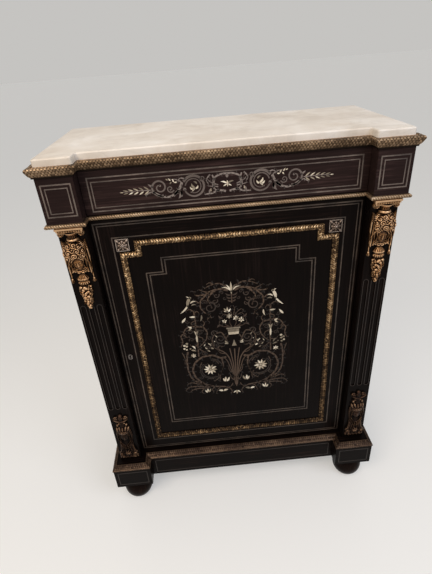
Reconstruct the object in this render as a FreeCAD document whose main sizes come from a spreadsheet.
"""Ebonised side cabinet with a marble top: a parametric document, one object for each piece.

Millimetres. +X to the right as the cabinet is seen from the front, -Y to the front, +Z up.
The origin is on the floor, in the middle of the cabinet's overall width and depth.
"""
import FreeCAD
import Part
import Sketcher
import math
import os
from types import SimpleNamespace

Vector = FreeCAD.Vector

# Driving dimensions
SIZES = {
    # frieze: the band with the drawer, whose corner blocks stand forward
    "frieze_width": 770,
    "frieze_depth": 353,
    "frieze_recess": 33,
    "frieze_block_width": 76,
    "frieze_block_depth": 90,
    "frieze_height": 107.5,
    "frieze_side_thick": 22,
    # top
    "subtop_thick": 21.5,
    "marble_thick": 15,
    "marble_inset": 2,
    "marble_wing": 80,
    "marble_round": 3.5,
    "marble_corner": 5,
    "top_mould_project": 13,
    # pilasters and the case between frieze and plinth
    "case_height": 764.5,
    "pilaster_width": 61,
    "pilaster_inset": 12,
    "pilaster_setback": 13,
    "pilaster_depth": 75,
    "flute_width": 11,
    "flute_depth": 2.5,
    "flute_spacing": 19.5,
    "flute_bottom": 213.5,
    "flute_length": 347,
    "side_panel_setback": 6,
    "side_panel_thick": 18,
    "tongue_thick": 8,
    "tongue_length": 9,
    "rear_post": 40,
    "back_panel_thick": 10,
    "back_panel_inset": 10,
    # rope moulding under the frieze
    "rope_height": 9,
    "rope_project": 6,
    # base
    "base_thick": 18,
    "base_lip_side": 12,
    "base_lip_front": 15,
    "base_mould_project": 15,
    "base_mould_height": 16.5,
    "base_mould_edge": 4,
    "plinth_step": 12,
    "plinth_height": 74.5,
    "plinth_recess": 34.4,
    "plinth_block_width": 110,
    "plinth_block_depth": 84,
    "plinth_board_thick": 25,
    "glue_block": 64,
    # turned feet
    "foot_height": 79,
    "foot_sole_radius": 28,
    "foot_neck_radius": 26,
    "foot_collar_radius": 33,
    "foot_collar_height": 9,
    "foot_inset_side": 54,
    "foot_inset_front": 46,
    "spigot_radius": 10,
    "spigot_length": 24,
    "spigot_slack": 0.2,
    # door
    "door_setback": 8,
    "door_gap": 2.5,
    "door_thick": 24,
    "door_stile_width": 62.5,
    "door_rail_width": 60,
    "door_panel_thick": 16,
    "door_stop_height": 20,
    "door_stop_thick": 17,
    "door_stop_gap": 0.3,
    # gilt border on the door
    "border_inset_side": 54.5,
    "border_inset_bottom": 51,
    "border_inset_top": 56,
    "border_width": 14,
    "border_height": 7,
    "border_notch_width": 36,
    "border_notch_height": 27.5,
    "rosette_side": 30,
    "rosette_thick": 3,
    "rosette_gap": 3.5,
    "rosette_from_notch": 12,
    "rosette_margin": 2,
    "rosette_boss": 5,
    "rosette_relief": 4.5,
    "petal_radius": 4.4,
    # pivot hinges
    "pivot_from_edge": 12,
    "pivot_from_face": 7,
    "pivot_radius": 3,
    "pivot_slack": 0.05,
    "pivot_bore_slack": 0.3,
    "pivot_end_slack": 0.5,
    "pivot_length": 14,
    "hinge_length": 46,
    "hinge_width": 14,
    "hinge_edge": 3.5,
    "hinge_face": 1.5,
    "hinge_case_thick": 2,
    "hinge_door_thick": 2.5,
    # lock
    "lock_height": 375.5,
    "lock_case_width": 47.5,
    "lock_case_height": 70,
    "lock_case_depth": 12,
    "lock_wall": 2,
    "bolt_height": 16,
    "bolt_thick": 6,
    "bolt_length": 29,
    "bolt_slack": 0.3,
    "bolt_throw": 10,
    "strike_height": 54,
    "strike_width": 24,
    "strike_thick": 1.2,
    "keyhole_from_edge": 26,
    "keyhole_radius": 2.6,
    "keyhole_slot_width": 2.6,
    "keyhole_slot_length": 8,
    "escutcheon_width": 11,
    "escutcheon_height": 17,
    "escutcheon_thick": 1.5,
    # drawer
    "drawer_gap": 1.5,
    "drawer_rail_height": 10,
    "drawer_rail_depth": 75,
    "drawer_front_thick": 20,
    "drawer_side_thick": 12,
    "drawer_side_inset": 9,
    "drawer_side_drop": 5,
    "drawer_length": 245,
    "drawer_bottom_thick": 6,
    "drawer_bottom_rise": 6,
    "drawer_groove": 6,
    "runner_ledge": 20,
    "runner_height": 15,
    "runner_lip": 24,
    "runner_slack": 0.3,
    "guide_slack": 0.5,
    "drawer_stop_width": 40,
    "drawer_stop_height": 9,
    "drawer_stop_depth": 10,
    "drawer_stop_place": 120,
    "back_rail_thick": 22,
    # shelf
    "shelf_rise": 381.5,
    "shelf_thick": 18,
    "shelf_gap": 1,
    "shelf_setback": 2,
    "cleat_thick": 20,
    "cleat_height": 18,
    "cleat_end_gap": 10,
    # gilt mounts on the pilasters
    "mount_sink": 4,
    "upper_mount_height": 208,
    "capital_width": 61,
    "capital_height": 12,
    "capital_depth": 20,
    "capital_step": 2,
    "capital_volute": 7,
    "capital_volute_depth": 15,
    "echinus_height": 6,
    "echinus_radius": 17,
    "neck_height": 8,
    "neck_radius": 10.5,
    "collar_height": 6,
    "collar_radius": 13,
    "drape_width": 54,
    "drape_height": 104,
    "drape_shoulder": 9,
    "drape_thick": 6,
    "drape_swag": 26,
    "drape_tail": 10,
    "tassel_radius": 5.5,
    "tassel_length": 20,
    "mask_height": 64,
    "chin_height": 26,
    "chin_radius": 15,
    "cheek_height": 28,
    "curl_radius": 8,
    "curl_spread": 10,
    "curl_depth": 15,
    "knot_height": 22,
    "knot_waist": 7,
    "ring_radius": 15,
    "ring_height": 14,
    "pendant_taper": 46,
    "pendant_radius": 16.5,
    "pendant_crown": 12,
    "pendant_neck": 10,
    "pendant_tip": 3,
    "lower_mount_height": 178,
    "lower_mount_lift": 18,
    "lower_foot_width": 57,
    "lower_plate": 5,
    "skirt_radius": 15,
    "skirt_height": 62,
    "lower_neck_radius": 12,
    "lower_mask_height": 50,
    "lower_chin_height": 19,
    "lower_cheek_radius": 13.5,
    "lower_cheek_height": 24,
    "headdress_radius": 18,
    "headdress_height": 12,
    "cap_radius": 10,
    "cap_height": 21,
    "crescent_width": 42,
    "crescent_drop": 15,
    "crescent_thick": 8,
    "trefoil_radius": 6.5,
    "trefoil_spread": 10,
    "trefoil_thick": 7,
}

doc = FreeCAD.newDocument("side_cabinet")
sheet = doc.addObject("Spreadsheet::Sheet", "sheet")
for row, (alias, number) in enumerate(SIZES.items(), 1):
    sheet.set(f"A{row}", alias)
    sheet.set(f"B{row}", str(number))
    sheet.setAlias(f"B{row}", alias)
doc.recompute()


class Dim:
    """A length that carries both its number and the sheet formula that gives it."""

    def __init__(self, number, formula):
        self.number = number
        self.formula = formula

    def __add__(self, other):
        other = as_dim(other)
        return Dim(self.number + other.number, f"({self.formula} + {other.formula})")

    def __sub__(self, other):
        other = as_dim(other)
        return Dim(self.number - other.number, f"({self.formula} - {other.formula})")

    def __mul__(self, other):
        other = as_dim(other)
        return Dim(self.number * other.number, f"({self.formula} * {other.formula})")

    def __truediv__(self, other):
        other = as_dim(other)
        return Dim(self.number / other.number, f"({self.formula} / {other.formula})")

    def __neg__(self):
        return Dim(-self.number, f"(-1 * {self.formula})")

    def __float__(self):
        return float(self.number)


def as_dim(value):
    """A Dim as it is, or a plain number as a Dim."""
    return value if isinstance(value, Dim) else Dim(value, repr(value))


s = SimpleNamespace(**{name: Dim(float(sheet.get(name)), f"sheet.{name}") for name in SIZES})
ZERO = as_dim(0)
SIDES = (("left", -1), ("right", 1))

# Planes worked out from the driving dimensions
board_depth = s.frieze_depth - s.pilaster_setback + s.base_lip_front
y_back = (board_depth + s.base_mould_project) / 2
y_frieze = y_back - s.frieze_depth
y_centre = y_frieze + s.frieze_recess
y_pilaster = y_frieze + s.pilaster_setback
y_pilaster_back = y_pilaster + s.pilaster_depth
y_door = y_centre + s.door_setback
y_door_back = y_door + s.door_thick
y_board = y_back - board_depth
y_plinth = y_board - s.plinth_step
y_post = y_back - s.rear_post
y_rail_back = y_centre + s.drawer_rail_depth
y_back_rail = y_back - s.back_rail_thick
y_back_panel = y_back - s.back_panel_inset - s.back_panel_thick

x_frieze = s.frieze_width / 2
x_block = x_frieze - s.frieze_block_width
x_pilaster = x_frieze - s.pilaster_inset
x_opening = x_pilaster - s.pilaster_width
x_flute = x_pilaster - s.pilaster_width / 2
x_panel_out = x_pilaster - s.side_panel_setback
x_panel_in = x_panel_out - s.side_panel_thick
x_post_in = x_pilaster - s.rear_post
x_board = x_pilaster + s.base_lip_side
x_plinth = x_board + s.plinth_step
x_plinth_block = x_plinth - s.plinth_block_width
x_frieze_side = x_frieze - s.frieze_side_thick
x_door = x_opening - s.door_gap
x_drawer = x_block - s.drawer_gap
x_box = x_block - s.drawer_side_inset

z_plinth = s.foot_height
z_base = z_plinth + s.plinth_height
z_case = z_base + s.base_thick
z_frieze = z_case + s.case_height
z_subtop = z_frieze + s.frieze_height
z_marble = z_subtop + s.subtop_thick
z_rail_top = z_frieze + s.drawer_rail_height
z_runner = z_frieze + s.runner_height
z_door_low = z_case + s.door_gap
z_door_high = z_frieze - s.door_gap
z_lock = z_case + s.lock_height
z_shelf = z_case + s.shelf_rise

parts = []


def keep(thing, label):
    """Name an object as a finished piece of the cabinet."""
    thing.Label = label
    parts.append(thing)
    return thing


def bind(thing, prop, length):
    """Tie a property to its sheet formula."""
    thing.setExpression(prop, as_dim(length).formula)


def place(thing, x=0, y=0, z=0):
    """Tie an object's position to sheet formulas."""
    for axis, length in zip("xyz", (x, y, z)):
        bind(thing, f".Placement.Base.{axis}", length)
    return thing


def span(side, inner, outer):
    """The low and high X of a stretch on the left (-1) or the right (+1)."""
    return (inner, outer) if side > 0 else (-outer, -inner)


def box(name, x, y, z):
    """A board between two planes on each axis."""
    block = doc.addObject("Part::Box", name)
    for prop, (low, high) in zip(("Length", "Width", "Height"), (x, y, z)):
        bind(block, prop, as_dim(high) - low)
    return place(block, x[0], y[0], z[0])


def cylinder(name, radius, length, x, y, z, turn=None):
    """A round bar or bore, standing along Z unless it is turned."""
    bar = doc.addObject("Part::Cylinder", name)
    bind(bar, "Radius", radius)
    bind(bar, "Height", length)
    if turn:
        bar.Placement = FreeCAD.Placement(Vector(), turn)
    return place(bar, x, y, z)


def cut(name, base, tool):
    """The base with the tool taken away."""
    result = doc.addObject("Part::Cut", name)
    result.Base = base
    result.Tool = tool
    return result


def fuse(name, *pieces):
    """Several solids joined in one."""
    result = doc.addObject("Part::MultiFuse", name)
    result.Shapes = list(pieces)
    return result


def group(label, *solids):
    """Several separate solids kept as one piece list entry."""
    result = doc.addObject("Part::Compound", label)
    result.Links = list(solids)
    return keep(result, label)


def sketch_on(body, role, offset=ZERO, across=ZERO):
    """A sketch on one of the body's own origin planes, moved along the plane's normal or across it."""
    plane = next(p for p in body.Origin.OriginFeatures if p.Role == role)
    sketch = body.newObject("Sketcher::SketchObject", body.Name + "_sketch")
    sketch.AttachmentSupport = (plane, "")
    sketch.MapMode = "FlatFace"
    for axis, length in (("z", offset), ("x", across)):
        if length is not ZERO:
            bind(sketch, f".AttachmentOffset.Base.{axis}", length)
    return sketch


def pin_point(sketch, index, end, x, y):
    """Fix a sketch point by its two coordinates."""
    for kind, length, axis in (("DistanceX", x, -2), ("DistanceY", y, -1)):
        length = as_dim(length)
        if length.formula == "0":
            sketch.addConstraint(Sketcher.Constraint("PointOnObject", index, end, axis))
            continue
        rule = Sketcher.Constraint(kind, -1, 1, index, end, float(length))
        sketch.setExpression(f"Constraints[{sketch.addConstraint(rule)}]", length.formula)


def left_turning_arc(start, via, stop):
    """The arc through three points, run the way that turns left."""
    centre = Part.Circle(start, via, stop).Center
    ends = [start, stop] if (via - start).cross(stop - via).z > 0 else [stop, start]
    angles = [math.atan2(end.y - centre.y, end.x - centre.x) for end in ends]
    if angles[1] < angles[0]:
        angles[1] += 2 * math.pi
    circle = Part.Circle(centre, Vector(0, 0, 1), centre.distanceToPoint(start))
    return Part.ArcOfCircle(circle, *angles)


def draw(sketch, steps):
    """A closed outline: each step is a corner (x, y), or (x, y, via_x, via_y) reached along an arc."""
    corners = [Vector(float(p[0]), float(p[1]), 0) for p in steps]
    ends = []
    for number, step in enumerate(steps):
        start, stop = corners[number - 1], corners[number]
        if len(step) == 2:
            index = sketch.addGeometry(Part.LineSegment(start, stop), False)
            first, last = 1, 2
        else:
            via = Vector(float(step[2]), float(step[3]), 0)
            first, last = (1, 2) if (via - start).cross(stop - via).z > 0 else (2, 1)
            index = sketch.addGeometry(left_turning_arc(start, via, stop), False)
            mark = sketch.addGeometry(Part.Point(via), True)
            sketch.addConstraint(Sketcher.Constraint("PointOnObject", mark, 1, index))
            pin_point(sketch, mark, 1, step[2], step[3])
        ends.append((index, first, last))
    for number, (index, first, last) in enumerate(ends):
        following = ends[(number + 1) % len(ends)]
        sketch.addConstraint(Sketcher.Constraint("Coincident", index, last, following[0], following[1]))
        pin_point(sketch, index, last, steps[number][0], steps[number][1])


def ball(low_radius, low, high_radius, high):
    """The step of a half outline that climbs round a ball about the axis, between two radii."""
    height = high - low
    rise = (height * height + high_radius * high_radius - low_radius * low_radius) / (height * 2)
    square = rise * rise + low_radius * low_radius
    radius = Dim(math.sqrt(square.number), f"sqrt({square.formula})")
    return (high_radius, high, radius, low + rise)


def draw_circle(sketch, x, y, radius):
    """A circle fixed by its centre and radius."""
    shape = Part.Circle(Vector(float(x), float(y), 0), Vector(0, 0, 1), float(radius))
    index = sketch.addGeometry(shape, False)
    pin_point(sketch, index, 3, x, y)
    rule = sketch.addConstraint(Sketcher.Constraint("Radius", index, float(radius)))
    sketch.setExpression(f"Constraints[{rule}]", as_dim(radius).formula)


def new_body(name):
    """An empty solid-modelling body."""
    return doc.addObject("PartDesign::Body", name)


def pad(body, role, steps, length, offset=ZERO):
    """An outline on an origin plane, thickened along the plane's normal."""
    sketch = sketch_on(body, role, offset)
    draw(sketch, steps)
    feature = body.newObject("PartDesign::Pad", body.Name + "_pad")
    feature.Profile = sketch
    bind(feature, "Length", length)
    return feature


def revolve(body, steps, turn, across=ZERO):
    """A half outline on the XZ plane, turned about the upright axis that stands at the given X."""
    sketch = sketch_on(body, "XZ_Plane", across=across)
    draw(sketch, steps)
    feature = body.newObject("PartDesign::Revolution", body.Name + "_turning")
    feature.Profile = sketch
    feature.ReferenceAxis = (sketch, ["V_Axis"])
    feature.Angle = turn
    return feature


def prism(label, role, steps, length, x=0, y=0, z=0):
    """A piece with one constant section, placed in the cabinet."""
    body = new_body(label)
    pad(body, role, steps, length)
    return place(body, x, y, z)


def breakfront(half, front, wing, recess, back):
    """Plan of a board whose two front corners stand forward of its middle."""
    inner = half - wing
    middle = front + recess
    return [(-half, back), (-half, front), (-inner, front), (-inner, middle),
            (inner, middle), (inner, front), (half, front), (half, back)]


def moulding(label, plan, closed, profile, rise):
    """Mitred lengths of one moulding along a plan of straight runs.

    The profile's first axis points to the right of the way the plan runs, its second one up.
    Each length is the profile drawn out along its run and cut at its two mitres.
    """
    count = len(plan)
    points = [Vector(float(x), float(y), 0) for x, y in plan]
    runs = range(count if closed else count - 1)
    ways = [(points[(i + 1) % count] - points[i]).normalize() for i in runs]
    outward = [Vector(way.y, -way.x, 0) for way in ways]
    reach = max(abs(float(across)) for step in profile for across in step[::2]) * 1.5
    low = min(float(step[1]) for step in profile)
    high = max(float(step[1]) for step in profile)

    def mitre(corner, run):
        other = corner - 1 if run == corner else corner
        if not closed and not 0 <= other < len(ways):
            return outward[run]
        return outward[run] + outward[other % count]

    lengths = []
    for run in runs:
        start, stop = points[run], points[(run + 1) % count]
        out, way = outward[run], ways[run]
        slack = way * reach

        def at(step, column=0):
            return start - slack + out * float(step[column]) + Vector(0, 0, float(step[column + 1]))

        edges = []
        for number, step in enumerate(profile):
            last = at(profile[number - 1])
            if len(step) == 2:
                edges.append(Part.LineSegment(last, at(step)).toShape())
            else:
                edges.append(Part.Arc(last, at(step, 2), at(step)).toShape())
        section = Part.Face(Part.Wire(edges))
        bar = section.extrude(stop - start + slack * 2)
        first, second = mitre(run, run), mitre(run + 1, run)
        corners = [start - first * reach, stop - second * reach, stop + second * reach, start + first * reach]
        wedge = Part.Face(Part.makePolygon(corners + corners[:1]))
        wedge.translate(Vector(0, 0, low - reach))
        lengths.append(bar.common(wedge.extrude(Vector(0, 0, high - low + reach * 2))).Solids[0])
    piece = doc.addObject("Part::Feature", label)
    piece.Shape = Part.makeCompound(lengths)
    piece.Placement = FreeCAD.Placement(Vector(0, 0, float(rise)), FreeCAD.Rotation())
    return keep(piece, label)


# Feet

def foot(label, x, y):
    """A turned bun foot with a collar, and a spigot that enters the plinth."""
    bun_top = s.foot_height - s.foot_collar_height
    tip = s.foot_height + s.spigot_length
    body = new_body(label)
    revolve(body, [
        (ZERO, ZERO),
        (s.foot_sole_radius, ZERO),
        ball(s.foot_sole_radius, ZERO, s.foot_neck_radius, bun_top),
        (s.foot_collar_radius, bun_top),
        (s.foot_collar_radius, s.foot_height),
        (s.spigot_radius, s.foot_height),
        (s.spigot_radius, tip),
        (ZERO, tip)], 360)
    keep(place(body, x, y), label)


def spigot_hole(name, x, y):
    """The bore in the plinth that takes a foot's spigot."""
    return cylinder(name, s.spigot_radius + s.spigot_slack, s.spigot_length + s.spigot_slack, x, y, z_plinth)


y_foot_front = y_plinth + s.foot_inset_front
y_foot_back = y_back - s.foot_inset_front
x_foot = x_plinth - s.foot_inset_side
for side_name, side in SIDES:
    foot(f"foot_front_{side_name}", x_foot * side, y_foot_front)
    foot(f"foot_back_{side_name}", x_foot * side, y_foot_back)

# Plinth

plinth_z = (z_plinth, z_base)
y_block_back = y_plinth + s.plinth_block_depth
y_plinth_back = y_back - s.plinth_board_thick
x_plinth_in = x_plinth - s.plinth_board_thick
y_plinth_centre = y_plinth + s.plinth_recess
glue_blocks = []
for side_name, side in SIDES:
    solid = box(f"block_{side_name}", span(side, x_plinth_block, x_plinth), (y_plinth, y_block_back),
                plinth_z)
    hole = spigot_hole(f"front_spigot_hole_{side_name}", x_foot * side, y_foot_front)
    keep(cut(f"plinth_block_{side_name}_cut", solid, hole), f"plinth_block_{side_name}")
    keep(box(f"plinth_side_{side_name}", span(side, x_plinth_in, x_plinth), (y_block_back, y_plinth_back),
             plinth_z), f"plinth_side_{side_name}")
    solid = box(f"glue_{side_name}", span(side, x_plinth_in - s.glue_block, x_plinth_in),
                (y_plinth_back - s.glue_block, y_plinth_back), plinth_z)
    hole = spigot_hole(f"back_spigot_hole_{side_name}", x_foot * side, y_foot_back)
    glue_blocks.append(cut(f"glue_block_{side_name}", solid, hole))
group("plinth_glue_blocks", *glue_blocks)
keep(box("plinth_front", (-x_plinth_block, x_plinth_block),
         (y_plinth_centre, y_plinth_centre + s.plinth_board_thick), plinth_z), "plinth_front_rail")
keep(box("plinth_back", (-x_plinth, x_plinth), (y_plinth_back, y_back), plinth_z), "plinth_back_rail")

# Bottom board with its gilt moulding

board_wing = x_board - x_plinth_block - s.plinth_step
board_plan = breakfront(x_board, y_board, board_wing, s.plinth_recess, y_back)
keep(prism("bottom_board", "XY_Plane", board_plan, s.base_thick, z=z_base), "bottom_board")
moulding("base_moulding", board_plan, False, [
    (ZERO, ZERO),
    (s.base_mould_project, ZERO),
    (s.base_mould_project, s.base_mould_edge),
    (s.base_mould_project * 0.45, s.base_mould_height * 0.55,
     s.base_mould_project * 0.8, s.base_mould_height * 0.47),
    (s.base_mould_project * 0.15, s.base_mould_height,
     s.base_mould_project * 0.2, s.base_mould_height * 0.77),
    (ZERO, s.base_mould_height)], z_base)

# Pilasters, rear posts, side panels and back panel

case_z = (z_case, z_frieze)
groove_low = x_panel_in + (s.side_panel_thick - s.tongue_thick) / 2
groove_high = groove_low + s.tongue_thick


def flutes(body, side):
    """Three upright channels with round ends, sunk in the pilaster's front."""
    radius = s.flute_width / 2
    low = s.flute_bottom + radius
    high = s.flute_bottom + s.flute_length - radius
    first = x_flute * side - s.flute_spacing
    sketch = sketch_on(body, "XZ_Plane", -y_pilaster)
    draw(sketch, [
        (first - radius, low),
        (first + radius, low, first, low - radius),
        (first + radius, high),
        (first - radius, high, first, high + radius)])
    feature = body.newObject("PartDesign::Pocket", body.Name + "_flute")
    feature.Profile = sketch
    bind(feature, "Length", s.flute_depth)
    doc.recompute()
    row = body.newObject("PartDesign::LinearPattern", body.Name + "_flutes")
    row.Originals = [feature]
    row.Direction = (sketch, ["H_Axis"])
    bind(row, "Length", s.flute_spacing * 2)
    row.Occurrences = 3
    body.Tip = row


for side_name, side in SIDES:
    body = new_body(f"pilaster_{side_name}_body")
    groove_end = y_pilaster_back - s.tongue_length
    plan = [(x_opening, y_pilaster), (x_pilaster, y_pilaster), (x_pilaster, y_pilaster_back),
            (groove_high, y_pilaster_back), (groove_high, groove_end), (groove_low, groove_end),
            (groove_low, y_pilaster_back), (x_opening, y_pilaster_back)]
    pad(body, "XY_Plane", [(x * side, y) for x, y in plan], s.case_height)
    flutes(body, side)
    place(body, z=z_case)
    if side < 0:
        strike_x = (-x_opening - s.strike_thick, -x_opening)
        y_bolt = y_door_back + s.lock_case_depth / 2
        bolt_y = (y_bolt - s.bolt_thick / 2, y_bolt + s.bolt_thick / 2)
        bolt_z = (z_lock - s.bolt_height / 2, z_lock + s.bolt_height / 2)
        slot_y = (bolt_y[0] - s.bolt_slack, bolt_y[1] + s.bolt_slack)
        slot_z = (bolt_z[0] - s.bolt_slack, bolt_z[1] + s.bolt_slack)
        strike_y = (y_bolt - s.strike_width / 2, y_bolt + s.strike_width / 2)
        strike_z = (z_lock - s.strike_height / 2, z_lock + s.strike_height / 2)
        recess = box("strike_recess", strike_x, strike_y, strike_z)
        mortise_x = (-x_opening - s.bolt_throw - s.door_gap, -x_opening)
        mortise = box("bolt_mortise", mortise_x, slot_y, slot_z)
        body = cut("pilaster_left_cut", body, fuse("strike_cuts", recess, mortise))
        plate = box("strike_blank", strike_x, strike_y, strike_z)
        slot = box("strike_slot", strike_x, slot_y, slot_z)
        keep(cut("strike", plate, slot), "strike_plate")
    keep(body, f"pilaster_{side_name}")

    post_groove = y_post + s.tongue_length
    panel_groove = x_post_in + s.tongue_length
    y_panel_back = y_back_panel + s.back_panel_thick
    plan = [(x_post_in, y_post), (groove_low, y_post), (groove_low, post_groove), (groove_high, post_groove),
            (groove_high, y_post), (x_pilaster, y_post), (x_pilaster, y_back), (x_post_in, y_back),
            (x_post_in, y_panel_back), (panel_groove, y_panel_back), (panel_groove, y_back_panel),
            (x_post_in, y_back_panel)]
    keep(prism(f"rear_post_{side_name}", "XY_Plane", [(x * side, y) for x, y in plan], s.case_height, z=z_case),
         f"rear_post_{side_name}")

    plan = [(x_panel_in, y_pilaster_back), (groove_low, y_pilaster_back), (groove_low, groove_end),
            (groove_high, groove_end), (groove_high, y_pilaster_back), (x_panel_out, y_pilaster_back),
            (x_panel_out, y_post), (groove_high, y_post), (groove_high, post_groove), (groove_low, post_groove),
            (groove_low, y_post), (x_panel_in, y_post)]
    keep(prism(f"side_panel_{side_name}", "XY_Plane", [(x * side, y) for x, y in plan], s.case_height, z=z_case),
         f"side_panel_{side_name}")

x_back_panel = x_post_in + s.tongue_length
keep(box("back", (-x_back_panel, x_back_panel), (y_back_panel, y_back_panel + s.back_panel_thick), case_z),
     "back_panel")

# Shelf on two cleats

x_shelf = x_panel_in - s.shelf_gap
x_shelf_back = x_post_in - s.shelf_gap
y_shelf = y_pilaster_back + s.shelf_setback
y_notch = y_post - s.shelf_gap
y_shelf_back = y_back_panel - s.shelf_gap
keep(prism("shelf", "XY_Plane", [
    (-x_shelf, y_shelf), (x_shelf, y_shelf), (x_shelf, y_notch), (x_shelf_back, y_notch),
    (x_shelf_back, y_shelf_back), (-x_shelf_back, y_shelf_back), (-x_shelf_back, y_notch), (-x_shelf, y_notch)],
    s.shelf_thick, z=z_shelf), "shelf")
group("shelf_cleats", *(
    box(f"cleat_{side_name}", span(side, x_panel_in - s.cleat_thick, x_panel_in),
        (y_pilaster_back + s.cleat_end_gap, y_post - s.cleat_end_gap), (z_shelf - s.cleat_height, z_shelf))
    for side_name, side in SIDES))

# Frieze, rail, runners and rope moulding

frieze_z = (z_frieze, z_subtop)
y_block_rear = y_frieze + s.frieze_block_depth
x_guide = x_box + s.guide_slack
for side_name, side in SIDES:
    keep(box(f"block_frieze_{side_name}", span(side, x_block, x_frieze), (y_frieze, y_block_rear), frieze_z),
         f"frieze_block_{side_name}")
    keep(box(f"side_frieze_{side_name}", span(side, x_frieze_side, x_frieze), (y_block_rear, y_back), frieze_z),
         f"frieze_side_{side_name}")
    ledge = x_box - s.runner_ledge
    lip_top = s.runner_height + s.runner_lip
    section = [(ledge, ZERO), (x_frieze_side, ZERO), (x_frieze_side, lip_top), (x_guide, lip_top),
               (x_guide, s.runner_height), (ledge, s.runner_height)]
    keep(prism(f"drawer_runner_{side_name}", "XZ_Plane", [(x * side, z) for x, z in section],
               y_back_rail - y_rail_back, y=y_back_rail, z=z_frieze), f"drawer_runner_{side_name}")
keep(box("rail_back", (-x_frieze_side, x_frieze_side), (y_back_rail, y_back), frieze_z), "frieze_back_rail")
keep(box("rail_drawer", (-x_block, x_block), (y_centre, y_rail_back), (z_frieze, z_rail_top)), "drawer_rail")

y_stop = y_door_back + s.door_stop_gap
x_pivot = x_door - s.pivot_from_edge
y_pivot = y_door + s.pivot_from_face
x_stop_end = x_door - s.door_stile_width
keep(box("stop_door", (-x_block, x_stop_end), (y_stop, y_stop + s.door_stop_thick),
         (z_frieze - s.door_stop_height, z_frieze)), "door_stop")

y_front_back = y_centre + s.drawer_front_thick
y_drawer_stop = y_front_back + s.runner_slack
group("drawer_stops", *(
    box(f"stop_{side_name}", span(side, s.drawer_stop_place, s.drawer_stop_place + s.drawer_stop_width),
        (y_drawer_stop, y_drawer_stop + s.drawer_stop_depth), (z_rail_top, z_rail_top + s.drawer_stop_height))
    for side_name, side in SIDES))

frieze_plan = breakfront(x_frieze, y_frieze, s.frieze_block_width, s.frieze_recess, y_back)
rope_flat = s.rope_project - s.rope_height / 2
moulding("rope_moulding", frieze_plan, False, [
    (ZERO, ZERO),
    (rope_flat, ZERO),
    (rope_flat, s.rope_height, s.rope_project, s.rope_height / 2),
    (ZERO, s.rope_height)], z_frieze)

# Top

keep(prism("sub_top", "XY_Plane", frieze_plan, s.subtop_thick, z=z_subtop), "sub_top")
cove = s.top_mould_project * 0.3
moulding("top_moulding", frieze_plan, False, [
    (ZERO, ZERO),
    (cove, ZERO),
    (cove, s.subtop_thick * 0.12),
    (s.top_mould_project * 0.85, s.subtop_thick * 0.68, s.top_mould_project * 0.72, s.subtop_thick * 0.34),
    (s.top_mould_project, s.subtop_thick * 0.68),
    (s.top_mould_project, s.subtop_thick * 0.88),
    (s.top_mould_project * 0.85, s.subtop_thick),
    (ZERO, s.subtop_thick)], z_subtop)

x_marble = x_frieze - s.marble_inset
y_marble = y_frieze + s.marble_inset
marble = new_body("marble")
slab = pad(marble, "XY_Plane", breakfront(x_marble, y_marble, s.marble_wing, s.frieze_recess, y_back),
           s.marble_thick)
doc.recompute()
upright = [f"Edge{number}" for number, edge in enumerate(slab.Shape.Edges, 1)
           if abs(edge.tangentAt(edge.FirstParameter).z) > 0.9
           and edge.BoundBox.YMax < float(y_back) - float(s.marble_corner)]
corners = marble.newObject("PartDesign::Fillet", "marble_corners")
corners.Base = (slab, upright)
bind(corners, "Radius", s.marble_corner)
doc.recompute()
upper = [f"Edge{number}" for number, edge in enumerate(corners.Shape.Edges, 1)
         if edge.BoundBox.ZMin > float(s.marble_thick) - 0.01
         and edge.BoundBox.YMin < float(y_back) - float(s.marble_corner)]
softened = marble.newObject("PartDesign::Fillet", "marble_softened")
softened.Base = (corners, upper)
bind(softened, "Radius", s.marble_round)
keep(place(marble, z=z_marble), "marble_top")

# Drawer

drawer_z = (z_rail_top + s.drawer_gap, z_subtop - s.drawer_gap)
z_box = z_runner + s.runner_slack
z_box_top = z_subtop - s.drawer_side_drop
z_sheet = z_box + s.drawer_bottom_rise
z_sheet_top = z_sheet + s.drawer_bottom_thick
y_box_back = y_front_back + s.drawer_length
x_box_in = x_box - s.drawer_side_thick
y_groove = y_front_back - s.drawer_groove
keep(prism("drawer_front", "YZ_Plane", [
    (y_centre, drawer_z[0]), (y_front_back, drawer_z[0]), (y_front_back, z_sheet), (y_groove, z_sheet),
    (y_groove, z_sheet_top), (y_front_back, z_sheet_top), (y_front_back, drawer_z[1]), (y_centre, drawer_z[1])],
    x_drawer * 2, x=-x_drawer), "drawer_front")
x_groove = x_box_in + s.drawer_groove
for side_name, side in SIDES:
    section = [(x_box_in, z_box), (x_box, z_box), (x_box, z_box_top), (x_box_in, z_box_top),
               (x_box_in, z_sheet_top), (x_groove, z_sheet_top), (x_groove, z_sheet), (x_box_in, z_sheet)]
    keep(prism(f"drawer_side_{side_name}", "XZ_Plane", [(x * side, z) for x, z in section],
               s.drawer_length, y=y_box_back), f"drawer_side_{side_name}")
keep(box("back_drawer", (-x_box_in, x_box_in), (y_box_back - s.drawer_side_thick, y_box_back),
         (z_sheet_top, z_box_top)), "drawer_back")
keep(box("bottom_drawer", (-x_groove, x_groove), (y_groove, y_box_back), (z_sheet, z_sheet_top)),
     "drawer_bottom")

# Door frame and panel

x_stile = x_door - s.door_stile_width
z_panel_low = z_door_low + s.door_rail_width
z_panel_high = z_door_high - s.door_rail_width
y_tongue = y_door + (s.door_panel_thick - s.tongue_thick) / 2
y_tongue_back = y_tongue + s.tongue_thick
door_height = z_door_high - z_door_low
hinge_x = (x_door - s.hinge_edge - s.hinge_length, x_door - s.hinge_edge)
hinge_y = (y_door + s.hinge_face, y_door + s.hinge_face + s.hinge_width)
hinge_top = (z_door_high - s.hinge_door_thick, z_door_high)
hinge_low = (z_door_low, z_door_low + s.hinge_door_thick)


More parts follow.
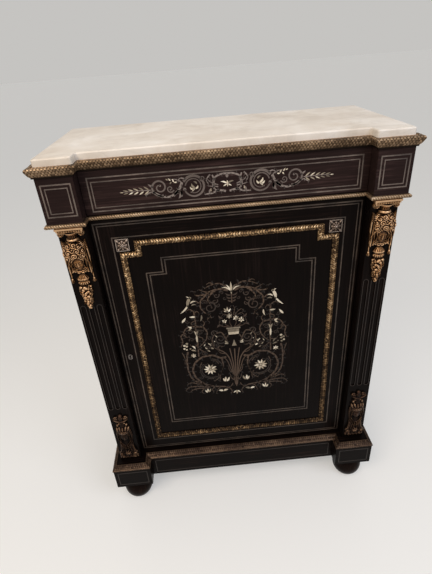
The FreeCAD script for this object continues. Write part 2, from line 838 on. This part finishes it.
def keyhole(name, depth, y):
    """A round hole with a slot below it, bored from front to back."""
    turn = FreeCAD.Rotation(Vector(1, 0, 0), -90)
    x = -x_door + s.keyhole_from_edge
    bore = cylinder(name + "_bore", s.keyhole_radius, depth, x, y, z_lock, turn)
    slot = box(name + "_slot", (x - s.keyhole_slot_width / 2, x + s.keyhole_slot_width / 2), (y, y + depth),
               (z_lock - s.keyhole_slot_length, z_lock))
    return fuse(name, bore, slot)


for side_name, side in SIDES:
    groove = x_stile + s.tongue_length
    plan = [(x_stile, y_door), (x_door, y_door), (x_door, y_door_back), (x_stile, y_door_back),
            (x_stile, y_tongue_back), (groove, y_tongue_back), (groove, y_tongue), (x_stile, y_tongue)]
    body = prism(f"stile_{side_name}", "XY_Plane", [(x * side, y) for x, y in plan], door_height, z=z_door_low)
    if side < 0:
        cuts = keyhole("stile_keyhole", s.door_thick, y_door)
    else:
        sunk = s.pivot_length + s.pivot_end_slack
        bore = s.pivot_radius + s.pivot_bore_slack
        cuts = fuse("hinge_cuts", box("hinge_recess_top", hinge_x, hinge_y, hinge_top),
                    box("hinge_recess_low", hinge_x, hinge_y, hinge_low),
                    cylinder("pivot_bore_top", bore, sunk, x_pivot, y_pivot, z_door_high - sunk),
                    cylinder("pivot_bore_low", bore, sunk, x_pivot, y_pivot, z_door_low))
    keep(cut(f"stile_{side_name}_cut", body, cuts), f"door_stile_{side_name}")

for rail_name, low, high in (("bottom", z_door_low, z_panel_low), ("top", z_panel_high, z_door_high)):
    groove_z = (z_panel_low - s.tongue_length, z_panel_low) if rail_name == "bottom" else (
        z_panel_high, z_panel_high + s.tongue_length)
    solid = box(f"rail_{rail_name}_solid", (-x_stile, x_stile), (y_door, y_door_back), (low, high))
    tenon = box(f"rail_{rail_name}_tenon", (-x_stile - s.tongue_length, x_stile + s.tongue_length),
                (y_tongue, y_tongue_back), (low, high))
    groove = box(f"rail_{rail_name}_groove", (-x_stile - s.tongue_length, x_stile + s.tongue_length),
                 (y_tongue, y_tongue_back), groove_z)
    keep(cut(f"rail_{rail_name}_cut", fuse(f"rail_{rail_name}_tenoned", solid, tenon), groove),
         f"door_rail_{rail_name}")
field = box("panel_field", (-x_stile, x_stile), (y_door, y_door + s.door_panel_thick),
            (z_panel_low, z_panel_high))
tongue = box("panel_tongue", (-x_stile - s.tongue_length, x_stile + s.tongue_length), (y_tongue, y_tongue_back),
             (z_panel_low - s.tongue_length, z_panel_high + s.tongue_length))
keep(fuse("panel", field, tongue), "door_panel")

# Gilt border and rosettes on the door

x_border = x_door - s.border_inset_side
x_border_top = x_border - s.border_notch_width
z_border_low = z_door_low + s.border_inset_bottom
z_border_high = z_door_high - s.border_inset_top
z_border_notch = z_border_high - s.border_notch_height
border = moulding("door_border", [
    (-x_border, z_border_low), (-x_border, z_border_notch), (-x_border_top, z_border_notch),
    (-x_border_top, z_border_high), (x_border_top, z_border_high), (x_border_top, z_border_notch),
    (x_border, z_border_notch), (x_border, z_border_low)], True, [
    (ZERO, ZERO),
    (s.border_width, ZERO),
    (s.border_width, s.border_height * 0.3),
    (s.border_width * 0.3, s.border_height, s.border_width * 0.72, s.border_height * 0.8),
    (s.border_width * 0.12, s.border_height),
    (ZERO, s.border_height * 0.6)], ZERO)
border.Placement = FreeCAD.Placement(Vector(0, float(y_door), 0), FreeCAD.Rotation(Vector(1, 0, 0), 90))


def rosette(name, x, z):
    """A square plate with eight round petals about a boss."""
    half = s.rosette_side / 2
    ring = half - s.petal_radius - s.rosette_margin
    body = new_body(name)
    pad(body, "XZ_Plane", [(-half, -half), (half, -half), (half, half), (-half, half)], s.rosette_thick)
    sketch = sketch_on(body, "XZ_Plane")
    draw_circle(sketch, ring, ZERO, s.petal_radius)
    petal = body.newObject("PartDesign::Pad", name + "_petal")
    petal.Profile = sketch
    bind(petal, "Length", s.rosette_thick + s.rosette_relief / 2)
    doc.recompute()
    petals = body.newObject("PartDesign::PolarPattern", name + "_petals")
    petals.Originals = [petal]
    petals.Axis = (sketch, ["N_Axis"])
    petals.Angle = 360
    petals.Occurrences = 8
    body.Tip = petals
    doc.recompute()
    sketch = sketch_on(body, "XZ_Plane")
    draw_circle(sketch, ZERO, ZERO, s.rosette_boss)
    boss = body.newObject("PartDesign::Pad", name + "_boss")
    boss.Profile = sketch
    bind(boss, "Length", s.rosette_thick + s.rosette_relief)
    return place(body, x, y_door, z)


x_rosette = x_border_top + s.rosette_from_notch + s.rosette_side / 2
z_rosette = z_border_notch + s.rosette_gap + s.rosette_side / 2
group("door_rosettes", *(rosette(f"rosette_{side_name}", x_rosette * side, z_rosette)
                         for side_name, side in SIDES))

# Escutcheon, lock and hinges

x_key = -x_door + s.keyhole_from_edge
half_width = s.escutcheon_width / 2
straight = s.escutcheon_height / 2 - half_width
body = new_body("escutcheon_body")
pad(body, "XZ_Plane", [
    (-half_width, -straight),
    (half_width, -straight, ZERO, -straight - half_width),
    (half_width, straight),
    (-half_width, straight, ZERO, straight + half_width)], s.escutcheon_thick)
place(body, x_key, y_door, z_lock - s.keyhole_slot_length / 3)
keep(cut("escutcheon_cut", body, keyhole("escutcheon_keyhole", s.escutcheon_thick, y_door - s.escutcheon_thick)),
     "escutcheon")

lock_x = (-x_door, -x_door + s.lock_case_width)
lock_y = (y_door_back, y_door_back + s.lock_case_depth)
lock_z = (z_lock - s.lock_case_height / 2, z_lock + s.lock_case_height / 2)
shell = box("lock_shell", lock_x, lock_y, lock_z)
cavity = box("lock_cavity", (lock_x[0] + s.lock_wall, lock_x[1] - s.lock_wall),
             (lock_y[0], lock_y[1] - s.lock_wall), (lock_z[0] + s.lock_wall, lock_z[1] - s.lock_wall))
slot = box("lock_slot", (lock_x[0], lock_x[0] + s.lock_wall), slot_y, slot_z)
keep(cut("lock_case_cut", shell, fuse("lock_cuts", cavity, slot)), "lock_case")
x_bolt = -x_door + s.bolt_slack
keep(box("bolt", (x_bolt, x_bolt + s.bolt_length), bolt_y, bolt_z), "lock_bolt")

case_top = (z_frieze - s.hinge_case_thick, z_frieze)
case_low = (z_case, z_case + s.hinge_case_thick)
reach = s.pivot_length + s.door_gap - s.hinge_case_thick
case_plates = []
door_plates = []
for end, case_level, door_level, pin_low in (
        ("top", case_top, hinge_top, case_top[0] - reach), ("low", case_low, hinge_low, case_low[1])):
    plate = box(f"case_plate_{end}", hinge_x, hinge_y, case_level)
    pin = cylinder(f"pivot_{end}", s.pivot_radius, reach, x_pivot, y_pivot, pin_low)
    case_plates.append(fuse(f"hinge_case_{end}", plate, pin))
    plate = box(f"door_plate_{end}", hinge_x, hinge_y, door_level)
    eye = cylinder(f"eye_{end}", s.pivot_radius + s.pivot_slack, s.hinge_door_thick, x_pivot, y_pivot,
                   door_level[0])
    door_plates.append(cut(f"hinge_door_{end}", plate, eye))
group("hinge_case_plates", *case_plates)
group("hinge_door_plates", *door_plates)

# Gilt mounts


def mirrored(body, feature):
    """Repeat a feature on the other side of the body's upright middle plane."""
    doc.recompute()
    twin = body.newObject("PartDesign::Mirrored", body.Name + "_twin")
    twin.Originals = [feature]
    plane = next(p for p in body.Origin.OriginFeatures if p.Role == "YZ_Plane")
    twin.MirrorPlane = (plane, [""])
    body.Tip = twin
    doc.recompute()


def layer(body, steps, thick):
    """A flat layer of a mount, begun a little behind its back plane."""
    return pad(body, "XZ_Plane", steps, thick + s.mount_sink, -s.mount_sink)


def round_pad(body, x, z, radius, thick):
    """A round boss of a mount, begun a little behind its back plane."""
    sketch = sketch_on(body, "XZ_Plane", -s.mount_sink)
    draw_circle(sketch, x, z, radius)
    feature = body.newObject("PartDesign::Pad", body.Name + "_boss")
    feature.Profile = sketch
    bind(feature, "Length", thick + s.mount_sink)
    return feature


def flatten_back(body, reach, height):
    """Cut away all that stands behind the mount's back plane."""
    doc.recompute()
    sketch = sketch_on(body, "XZ_Plane")
    draw(sketch, [(-reach, -reach), (reach, -reach), (reach, height + reach), (-reach, height + reach)])
    feature = body.newObject("PartDesign::Pocket", body.Name + "_back")
    feature.Profile = sketch
    feature.Type = "ThroughAll"
    body.Tip = feature


def upper_mount(label, x):
    """A scrolled capital on a short neck, a draped mask with curls and tassels, and a tapering pendant."""
    top = s.upper_mount_height
    abacus = top - s.capital_height
    echinus = abacus - s.echinus_height
    collar_top = echinus - s.neck_height
    collar = collar_top - s.collar_height
    drape_top = collar + s.collar_height / 2
    drape_low = collar - s.drape_height
    swag = drape_low + s.drape_swag
    mask_low = collar - s.mask_height - s.curl_radius * 2
    chin = mask_low + s.chin_height
    knot_low = mask_low - s.knot_height
    ring_low = knot_low - s.ring_height
    half = s.drape_width / 2
    tail = half - s.drape_tail
    body = new_body(label)
    revolve(body, [
        (ZERO, ZERO),
        (s.pendant_tip, ZERO),
        (s.pendant_radius, s.pendant_taper),
        ball(s.pendant_radius, s.pendant_taper, s.pendant_neck, s.pendant_taper + s.pendant_crown),
        (s.pendant_neck, ring_low),
        (s.ring_radius, ring_low),
        (s.ring_radius, knot_low),
        (s.knot_waist, knot_low),
        ball(s.knot_waist, knot_low, s.knot_waist, mask_low),
        (s.chin_radius, chin),
        ball(s.chin_radius, chin, s.neck_radius, chin + s.cheek_height),
        (s.neck_radius, collar),
        (s.collar_radius, collar),
        (s.collar_radius, collar_top),
        (s.neck_radius, collar_top),
        (s.neck_radius, echinus),
        (s.echinus_radius, abacus, s.neck_radius * 1.15, echinus + s.echinus_height * 0.7),
        (ZERO, abacus)], 360)
    layer(body, [
        (half, drape_low),
        (half, collar - s.drape_shoulder),
        (s.neck_radius, drape_top, half - s.drape_shoulder * 0.4, collar - s.drape_shoulder * 0.35),
        (-s.neck_radius, drape_top),
        (-half, collar - s.drape_shoulder, s.drape_shoulder * 0.4 - half, collar - s.drape_shoulder * 0.35),
        (-half, drape_low),
        (-tail, drape_low),
        (tail, drape_low, ZERO, swag)], s.drape_thick)
    for number in range(3):
        step = s.capital_step * number
        reach = s.capital_width / 2 - step
        low = top - s.capital_height / 3 * (number + 1)
        layer(body, [(-reach, low), (reach, low), (reach, top), (-reach, top)], s.capital_depth - step)
    mirrored(body, round_pad(body, s.capital_width / 2 - s.capital_volute, abacus, s.capital_volute,
                             s.capital_volute_depth))
    mirrored(body, round_pad(body, s.curl_spread, mask_low + s.mask_height, s.curl_radius, s.curl_depth))
    mirrored(body, revolve(body, [
        (ZERO, drape_low - s.tassel_length / 2),
        (s.tassel_radius, drape_low - s.tassel_length / 2),
        (s.tassel_radius * 0.5, drape_low + s.tassel_length / 2, s.tassel_radius * 0.6, drape_low),
        (ZERO, drape_low + s.tassel_length / 2)], 360, half - s.tassel_radius))
    flatten_back(body, s.capital_width, top)
    keep(place(body, x, y_pilaster, z_frieze - top), label)


def lower_mount(label, x):
    """A trefoil over a crescent, a mask in a headdress, and a skirt of leaves that spreads to the base."""
    top = s.lower_mount_height
    skirt = s.skirt_height
    headdress = skirt + s.lower_mask_height
    cap = headdress + s.headdress_height
    lobe = top - s.trefoil_radius
    horn = lobe - s.trefoil_radius
    half = s.lower_foot_width / 2
    waist = s.headdress_radius + s.trefoil_radius / 4
    cheek = skirt + s.lower_chin_height
    crescent_half = s.crescent_width / 2
    body = new_body(label)
    layer(body, [
        (half, ZERO),
        (waist, skirt, waist, skirt * 0.45),
        (waist, cap),
        (s.cap_radius, cap + s.cap_height),
        (s.cap_radius, lobe),
        (-s.cap_radius, lobe),
        (-s.cap_radius, cap + s.cap_height),
        (-waist, cap),
        (-waist, skirt),
        (-half, ZERO, -waist, skirt * 0.45)], s.lower_plate)
    layer(body, [
        (crescent_half, horn, ZERO, horn - s.crescent_drop),
        (-crescent_half, horn)], s.crescent_thick)
    round_pad(body, ZERO, lobe, s.trefoil_radius, s.trefoil_thick)
    mirrored(body, round_pad(body, s.trefoil_spread, lobe - s.trefoil_radius * 0.8, s.trefoil_radius,
                             s.trefoil_thick))
    revolve(body, [
        (ZERO, ZERO),
        (s.skirt_radius, ZERO),
        (s.lower_neck_radius, skirt),
        (s.lower_cheek_radius, cheek),
        ball(s.lower_cheek_radius, cheek, s.lower_neck_radius, cheek + s.lower_cheek_height),
        (s.lower_neck_radius, headdress),
        (s.headdress_radius, headdress),
        (s.headdress_radius, cap),
        (s.cap_radius, cap),
        (s.cap_radius * 0.6, cap + s.cap_height),
        (ZERO, cap + s.cap_height)], 360)
    flatten_back(body, s.lower_foot_width, top)
    keep(place(body, x, y_pilaster, z_case + s.lower_mount_lift), label)


for side_name, side in SIDES:
    upper_mount(f"upper_mount_{side_name}", x_flute * side)
    lower_mount(f"lower_mount_{side_name}", x_flute * side)

# Check the document, then write one file for each piece
doc.recompute()
failed = [thing.Label for thing in doc.Objects if {"Invalid", "Error"} & set(thing.State)]
if failed:
    raise RuntimeError(f"objects that failed: {failed}")
for piece in parts:
    if piece.Shape.isNull() or not piece.Shape.isValid() or not piece.Shape.Solids:
        raise RuntimeError(f"bad solid: {piece.Label}")
os.makedirs("parts", exist_ok=True)
for piece in parts:
    piece.Shape.exportStep(os.path.join("parts", f"{piece.Label}.step"))
print(len(parts), "pieces")
